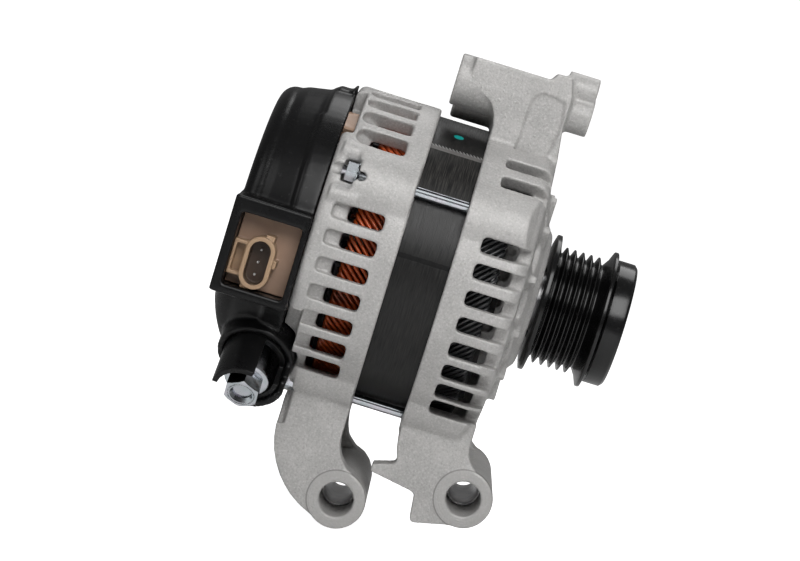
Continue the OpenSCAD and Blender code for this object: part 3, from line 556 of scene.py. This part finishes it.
def finish_plastic(name, colour, roughness, coat, texture, gleam=0.26):
    material, tree, shader = new_material(name, Coat_Weight=coat, Coat_Roughness=0.2,
                                          Specular_IOR_Level=gleam)
    grain = use_group(tree, "blasted grain", Vector=place(tree), Scale=1300.0)
    tint = blend_colours(tree, grain["Mottle"], scaled(colour, 0.8), scaled(colour, 1.25))
    tint = blend_colours(tree, weaken(tree, grain["Pores"], 0.25), tint, [0.05 + c for c in colour])
    tree.links.new(tint, shader.inputs["Base Color"])
    uneven = noise(tree, place(tree), 60.0, 2)
    tree.links.new(calc(tree, "ADD", calc(tree, "MULTIPLY", grain["Grain"], 0.1),
                        calc(tree, "MULTIPLY_ADD", uneven, 0.1, roughness - 0.1)), shader.inputs["Roughness"])
    skin = bump(tree, grain["Grain"], texture, 0.00012)
    tree.links.new(bump(tree, uneven, 0.12, 0.0016, skin), shader.inputs["Normal"])
    return material


def finish_plug():
    plug = settings("cover")
    material, tree, shader = new_material("brown plug plastic", roughness=0.42)
    grain = use_group(tree, "blasted grain", Vector=place(tree), Scale=1100.0)
    highlight_and_shade = use_group(tree, "edge highlight and shade", Vector=place(tree), Scale=600.0)
    x, y, z = parts_of(tree, place(tree))
    raised = fade(tree, y, PLUG_FLOOR_Y - 0.0001, PLUG_FLOOR_Y - 0.0013)
    # Mask of the deep inside of the pin well, which is painted dark as painted shade.
    off_x = calc(tree, "SUBTRACT", x, PLUG_MIDDLE[0])
    off_z = calc(tree, "ABSOLUTE", calc(tree, "SUBTRACT", z, PLUG_MIDDLE[1]))
    off_z = calc(tree, "MAXIMUM", calc(tree, "SUBTRACT", off_z, 0.0048), 0.0)
    inside = fade(tree, distance(tree, off_x, off_z), 0.0047, 0.0043)
    well = calc(tree, "MULTIPLY", inside, fade(tree, y, PLUG_WELL_Y, PLUG_WELL_Y + 0.001))
    # The base plate's colour is partly painted light: its brown is made lighter for the shaded window of the
    # plug.
    base = blend_colours(tree, grain["Mottle"], scaled(plug.base, 0.85), scaled(plug.base, 1.1))
    shell = blend_colours(tree, grain["Mottle"], scaled(plug.shell, 0.9), scaled(plug.shell, 1.08))
    colour = blend_colours(tree, raised, base, shell)
    # Hollows of the plug are painted darker: painted shade.
    colour = blend_colours(tree, weaken(tree, highlight_and_shade["Hollows"], 0.5), colour, scaled(plug.base, 0.4))
    # The well's inside is painted near-black: painted shade in the recess.
    colour = blend_colours(tree, weaken(tree, well, 0.85), colour, scaled(plug.base, 0.15))
    tree.links.new(colour, shader.inputs["Base Color"])
    tree.links.new(calc(tree, "MULTIPLY_ADD", grain["Grain"], 0.2, 0.33), shader.inputs["Roughness"])
    tree.links.new(bump(tree, grain["Grain"], 0.3, 0.0001), shader.inputs["Normal"])
    return material


def finish_metal(name, colour, tinted, roughness, spread, scale=260.0, scratch=0.2, reflection_banding=0.0):
    material, tree, shader = new_material(name, metallic=1.0)
    grain = use_group(tree, "blasted grain", Vector=place(tree), Scale=scale * 4)
    cloud = noise(tree, place(tree), scale, 3, 0.6)
    tint = blend_colours(tree, fade(tree, cloud, 0.38, 0.66), colour, tinted)
    tint = blend_colours(tree, weaken(tree, grain["Pores"], 0.35), tint, scaled(colour, 0.4))
    # Dark bands that follow which way the surface faces: a painted reflection, as on bright zinc rods.
    if reflection_banding > 0:
        across, _, high = parts_of(tree, tree.nodes.new("ShaderNodeTexCoord").outputs["Normal"])
        lean = calc(tree, "MULTIPLY_ADD", high, 2.8, 3.0)
        lean = calc(tree, "ADD", lean, calc(tree, "MULTIPLY", across, 1.5))
        waves = calc(tree, "SINE", calc(tree, "ADD", lean, calc(tree, "MULTIPLY", cloud, 0.6)))
        reflection_bands = weaken(tree, fade(tree, waves, -0.1, -0.65), reflection_banding)
        tint = blend_colours(tree, reflection_bands, tint, scaled(colour, 0.1))
    tree.links.new(tint, shader.inputs["Base Color"])
    tree.links.new(calc(tree, "MULTIPLY_ADD", grain["Grain"], spread, roughness), shader.inputs["Roughness"])
    tree.links.new(bump(tree, grain["Grain"], scratch, 0.0001), shader.inputs["Normal"])
    return material


FINISHES = {}


def paint_nodes():
    """Gives every CAD node the finish of its slot."""
    for part in frame["record"]["subparts"]:
        node = frame["nodes"][part["node"]]
        material = FINISHES.get(part["node"]) or FINISHES[part["material_slot"]]
        node.data.materials.clear()
        node.data.materials.append(material)


# ---- operators ----

class ALTERNATOR_OT_finishes(bpy.types.Operator):
    """Builds the finishes and gives each CAD node its own"""
    bl_idname = "alternator.finishes"
    bl_label = "Finishes"

    def execute(self, context):
        winding, cover = settings("windings"), settings("cover")
        build_groups()
        FINISHES.update({
            "cast_aluminium": finish_casting(),
            "black_laminations": finish_laminations(),
            "copper": finish_wire("enamelled copper", winding.enamel, scaled(winding.enamel, 0.35), 0.5),
            "front_winding": finish_wire("varnished winding", winding.varnish, scaled(winding.varnish, 0.4),
                                         0.6),
            # Zinc plate: the last value sets its painted reflection bands.
            "zinc_plate": finish_metal("bright zinc plate", (0.6, 0.65, 0.68), (0.74, 0.72, 0.78), 0.12, 0.14,
                                       140.0, 0.12, 0.9),
            "ground_steel": finish_metal("ground steel", (0.5, 0.5, 0.51), (0.62, 0.61, 0.6), 0.2, 0.25),
            "bearing_brass": finish_metal("bearing brass", (0.55, 0.37, 0.12), (0.68, 0.48, 0.2), 0.25, 0.25),
            "forged_steel": finish_metal("forged steel", (0.07, 0.07, 0.072), (0.13, 0.125, 0.12), 0.42, 0.3,
                                         180.0, 0.6),
            "heat_sink": finish_metal("heat sink aluminium", (0.42, 0.43, 0.43), (0.55, 0.55, 0.54), 0.35,
                                      0.25),
            "black_plastic": finish_plastic("moulded black plastic", cover.black, 0.29, 0.0, 0.18),
            "brown_plastic": finish_plug(),
            "black_pulley": finish_plastic("black pulley coating", (0.003, 0.003, 0.0032), 0.2, 0.12, 0.08,
                                           0.4),
            "carbon": finish_plastic("brush carbon", (0.035, 0.035, 0.037), 0.62, 0.0, 0.5),
        })
        paint_nodes()
        return {"FINISHED"}


class ALTERNATOR_OT_castings(bpy.types.Operator):
    """Makes the two cast brackets with rounded cast edges"""
    bl_idname = "alternator.castings"
    bl_label = "Cast brackets"

    def execute(self, context):
        casting = settings("castings")
        for node in ("front_bracket", "rear_bracket"):
            piece = node_copy(node, node + "_casting")
            soften(piece, casting.grain, casting.rounding)
            finish_piece(piece, [node], "housing", FINISHES["cast_aluminium"])
        return {"FINISHED"}


class ALTERNATOR_OT_cover(bpy.types.Operator):
    """Makes the moulded rear cover with its rib"""
    bl_idname = "alternator.cover"
    bl_label = "Rear cover"

    def execute(self, context):
        cover = settings("cover")
        piece = node_copy("rear_cover", "rear_cover_moulding")
        steps = 20
        path = []
        for step in range(steps + 1):
            angle = math.radians(13 + 43 * step / steps)
            path.append((RIB_X - 0.0008 * step / steps, -RIB_PATH_RADIUS * math.cos(angle),
                         RIB_PATH_RADIUS * math.sin(angle)))
        rib = tube("rib", path, cover.rib_radius)
        pick(piece, rib)
        bpy.ops.object.join()
        soften(piece, cover.grain, 9)
        finish_piece(piece, ["rear_cover"], "housing", FINISHES["black_plastic"])
        return {"FINISHED"}


class ALTERNATOR_OT_mouldings(bpy.types.Operator):
    """Makes the plug and the charging stud's collar with moulded edges"""
    bl_idname = "alternator.mouldings"
    bl_label = "Plug and collar"

    def execute(self, context):
        grain = settings("cover").plug_grain
        for node, slot in (("connector_housing", "brown_plastic"), ("charge_collar", "black_plastic")):
            piece = node_copy(node, node + "_moulding")
            soften(piece, grain, 4, 120000)
            finish_piece(piece, [node], "housing", FINISHES[slot])
        return {"FINISHED"}


class ALTERNATOR_OT_windings(bpy.types.Operator):
    """Winds the hairpins at both ends of the stator"""
    bl_idname = "alternator.windings"
    bl_label = "End windings"

    def execute(self, context):
        winding = settings("windings")
        outer, inner = 0.0569, 0.0535
        middle, half = (outer + inner) / 2, (outer - inner) / 2
        crown = 0.0007
        leg_steps = 8
        for node, side, finish in (("rear_winding", -1, "copper"), ("front_winding", 1, "front_winding")):
            low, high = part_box(node)
            root, end = (high[0], low[0]) if side < 0 else (low[0], high[0])
            reach = abs(end - root) - 2.2 * winding.wire_radius
            path = []
            for step in range(leg_steps + 1):
                share = step / leg_steps
                path.append((outer, winding.lean * share, reach * share))
            for turn in (45, 90, 135):
                bend = math.radians(turn)
                path.append((middle + half * math.cos(bend), winding.lean * (1 + 0.06 * turn / 45),
                             reach + crown * math.sin(bend)))
            for step in range(leg_steps + 1):
                share = step / leg_steps
                path.append((inner, winding.lean * (1.24 - 1.1 * share), reach * (1 - share)))
            points = [(root + side * out, -radius * math.cos(angle), radius * math.sin(angle))
                      for radius, angle, out in path]
            piece = tube(node + "_hairpins", points, winding.wire_radius, 8)
            edit_all(piece)
            bpy.ops.mesh.normals_make_consistent(inside=False)
            step = 2 * math.pi / winding.wires
            bpy.ops.mesh.spin(steps=winding.wires - 1, dupli=True, angle=step * (winding.wires - 1),
                              center=(0, 0, 0), axis=(1, 0, 0))
            leave_edit()
            finish_piece(piece, [node], "housing", FINISHES[finish], 50)
        return {"FINISHED"}


class ALTERNATOR_OT_springs(bpy.types.Operator):
    """Winds the two brush springs"""
    bl_idname = "alternator.springs"
    bl_label = "Brush springs"

    def execute(self, context):
        turns = settings("windings").spring_turns
        wire = 0.00032
        for node, joint in BRUSHES.items():
            low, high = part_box(node)
            middle = (low[0] + high[0]) / 2
            radius = (high[0] - low[0]) / 2 - wire
            count = int(turns * 16)
            points = []
            for step in range(count + 1):
                angle = 2 * math.pi * turns * step / count
                height = low[2] + wire + (high[2] - low[2] - 2 * wire) * step / count
                points.append((middle + radius * math.cos(angle), radius * math.sin(angle), height))
            piece = tube(node + "_coil", points, wire, 8)
            finish_piece(piece, [node], "housing", FINISHES["ground_steel"], 60)
            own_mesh(piece)
        return {"FINISHED"}


class ALTERNATOR_OT_charging_nut(bpy.types.Operator):
    """Makes the flanged charging nut with its threaded bore"""
    bl_idname = "alternator.charging_nut"
    bl_label = "Charging nut"

    def execute(self, context):
        bore, pitch, thread_depth = 0.0041, 0.00125, 0.00055
        hex_radius, hex_height = 0.0077, 0.0084
        flange, barrel, length = 0.0092, 0.0070, 0.0234
        hidden = 0.0058
        thread = []
        for turn in range(6):
            at = 0.0008 + turn * pitch
            thread += [(bore, at), (bore + thread_depth, at + pitch / 2)]
        nut = turned_piece("charge_nut_flanged", [(bore + 0.0007, 0.0)] + thread + [
            (bore, length), (barrel - 0.0002, length), (barrel, length - 0.0003), (barrel, 0.0102),
            (flange - 0.0004, 0.0101), (flange, 0.0097), (flange, 0.0088), (flange - 0.0004, hex_height),
            (0.0072, 0.0080), (hidden, 0.0078), (hidden, 0.0)])
        bpy.ops.object.select_all(action="DESELECT")
        bpy.ops.mesh.primitive_cylinder_add(vertices=6, radius=hex_radius, depth=hex_height,
                                            location=(0, 0, hex_height / 2))
        prism = bpy.context.object
        seat(prism)
        rim, past = hex_radius + 0.0001, hex_height + 0.0004
        bevelled = turned_piece("chamfer", [(0.0052, -0.0002), (0.0068, 0.0), (rim, 0.0006), (rim, past),
                                            (0.0052, past)])
        apply_modifier(prism, "BOOLEAN", operation="INTERSECT", object=bevelled, solver="EXACT")
        bpy.data.objects.remove(bevelled)
        apply_modifier(prism, "BEVEL", width=0.00018, segments=2, limit_method="ANGLE",
                       angle_limit=math.radians(30))
        pick(nut, prism)
        bpy.ops.object.join()
        on_charge_axis(nut)
        finish_piece(nut, ["charge_nut"], "housing", FINISHES["zinc_plate"], 32)
        return {"FINISHED"}


class ALTERNATOR_OT_edges(bpy.types.Operator):
    """Rounds the edges of the turned and pressed pieces that stay as the CAD made them"""
    bl_idname = "alternator.edges"
    bl_label = "Small edge radii"

    def execute(self, context):
        widths = {"pulley_rim": 0.00022, "dust_cap": 0.0004, "through_nuts": 0.0003, "cover_nuts": 0.0003,
                  "front_ear_bushing": 0.0004, "rear_ear_bushing": 0.0004, "terminal_block": 0.0004,
                  "through_studs": 0.0002, "cover_studs": 0.0003, "rotor_shaft": 0.0002, "slip_rings": 0.0001,
                  "connector_pins": 0.00015, "voltage_regulator": 0.0004, "brush_holder": 0.0003}
        for node, width in widths.items():
            thing = frame["nodes"][node]
            merge = thing.modifiers.new("Merge", "WELD")
            merge.merge_threshold = 1e-6
            bevel = thing.modifiers.new("Edges", "BEVEL")
            bevel.width = width
            bevel.segments = 2
            bevel.limit_method = "ANGLE"
            bevel.angle_limit = math.radians(28)
            bevel.use_clamp_overlap = True
        return {"FINISHED"}


class ALTERNATOR_OT_studio(bpy.types.Operator):
    """Sets up the floor, the soft light and the camera"""
    bl_idname = "alternator.studio"
    bl_label = "Studio"

    def execute(self, context):
        studio = settings("studio")
        scene = context.scene
        scene.view_settings.view_transform = "Standard"
        bpy.ops.object.select_all(action="DESELECT")
        bpy.ops.mesh.primitive_plane_add(size=60, location=(0, 0, CAD_BOX[0][2] - 0.0004))
        floor = context.object
        floor.name = "floor"
        seat(floor)
        material, tree, shader = new_material("floor paint", roughness=0.8)
        mottle = noise(tree, place(tree), 3.0, 2)
        paint = blend_colours(tree, mottle, scaled(studio.floor, 0.985), studio.floor)
        tree.links.new(paint, shader.inputs["Base Color"])
        shader.inputs["Emission Color"].default_value = (1, 1, 1, 1)
        shown = tree.nodes.new("ShaderNodeLightPath").outputs["Is Camera Ray"]
        tree.links.new(calc(tree, "MULTIPLY", shown, 1.0), shader.inputs["Emission Strength"])
        floor.data.materials.append(material)

        world = bpy.data.worlds.new("studio air")
        scene.world = world
        world.use_nodes = True
        nodes, links = world.node_tree.nodes, world.node_tree.links
        air = nodes["Background"]
        air.inputs["Color"].default_value = (1, 1, 1, 1)
        air.inputs["Strength"].default_value = studio.ambient
        seen = nodes.new("ShaderNodeBackground")
        seen.inputs["Color"].default_value = (1, 1, 1, 1)
        seen.inputs["Strength"].default_value = 1.1
        mix = nodes.new("ShaderNodeMixShader")
        links.new(nodes.new("ShaderNodeLightPath").outputs["Is Camera Ray"], mix.inputs[0])
        links.new(air.outputs[0], mix.inputs[1])
        links.new(seen.outputs[0], mix.inputs[2])
        links.new(mix.outputs[0], nodes["World Output"].inputs["Surface"])

        target = Vector((-0.065, 0, -0.01))
        for name, spot, size, power in SOFTBOXES:
            bpy.ops.object.select_all(action="DESELECT")
            bpy.ops.object.light_add(type="AREA", location=spot)
            lamp = context.object
            lamp.name = name
            lamp.data.size = size
            lamp.data.energy = power
            lamp.rotation_euler = (target - Vector(spot)).to_track_quat("-Z", "Y").to_euler()

        bpy.ops.object.camera_add()
        camera = context.object
        camera.name = "camera"
        camera.data.sensor_width = 36
        camera.data.lens = studio.lens
        ahead = Vector((0, math.cos(studio.pitch), -math.sin(studio.pitch)))
        turn = Matrix.Rotation(math.radians(90) - studio.pitch, 4, "X") @ Matrix.Rotation(studio.roll, 4, "Z")
        camera.matrix_world = Matrix.Translation(Vector(studio.aim) - ahead * studio.distance) @ turn
        scene.camera = camera
        return {"FINISHED"}


class ALTERNATOR_PT_panel(bpy.types.Panel):
    """Lists the alternator's steps and settings"""
    bl_label = "Car alternator"
    bl_space_type = "VIEW_3D"
    bl_region_type = "UI"
    bl_category = "Alternator"

    def draw(self, context):
        layout = self.layout
        for group in SETTINGS:
            values = settings(group)
            box = layout.box()
            box.label(text=group.title())
            for name in values.bl_rna.properties.keys():
                if name not in ("rna_type", "name"):
                    box.prop(values, name)
        for operator in OPERATORS:
            layout.operator(operator.bl_idname)


SETTINGS = {"castings": CastingSettings, "cover": CoverSettings, "windings": WindingSettings,
            "studio": StudioSettings}
OPERATORS = (ALTERNATOR_OT_finishes, ALTERNATOR_OT_castings, ALTERNATOR_OT_cover, ALTERNATOR_OT_mouldings,
             ALTERNATOR_OT_windings, ALTERNATOR_OT_springs, ALTERNATOR_OT_charging_nut, ALTERNATOR_OT_edges,
             ALTERNATOR_OT_studio)


def register():
    for cls in (*SETTINGS.values(), *OPERATORS, ALTERNATOR_PT_panel):
        bpy.utils.register_class(cls)
    for group, cls in SETTINGS.items():
        setattr(bpy.types.Scene, "alternator_" + group, bpy.props.PointerProperty(type=cls))


def unregister():
    for group in SETTINGS:
        delattr(bpy.types.Scene, "alternator_" + group)
    for cls in reversed((*SETTINGS.values(), *OPERATORS, ALTERNATOR_PT_panel)):
        bpy.utils.unregister_class(cls)


def main():
    register()
    bpy.ops.alternator.finishes()
    bpy.ops.alternator.castings()
    bpy.ops.alternator.cover()
    bpy.ops.alternator.mouldings()
    bpy.ops.alternator.windings()
    bpy.ops.alternator.springs()
    bpy.ops.alternator.charging_nut()
    bpy.ops.alternator.edges()
    bpy.ops.alternator.studio()


if __name__ == "__main__":
    main()
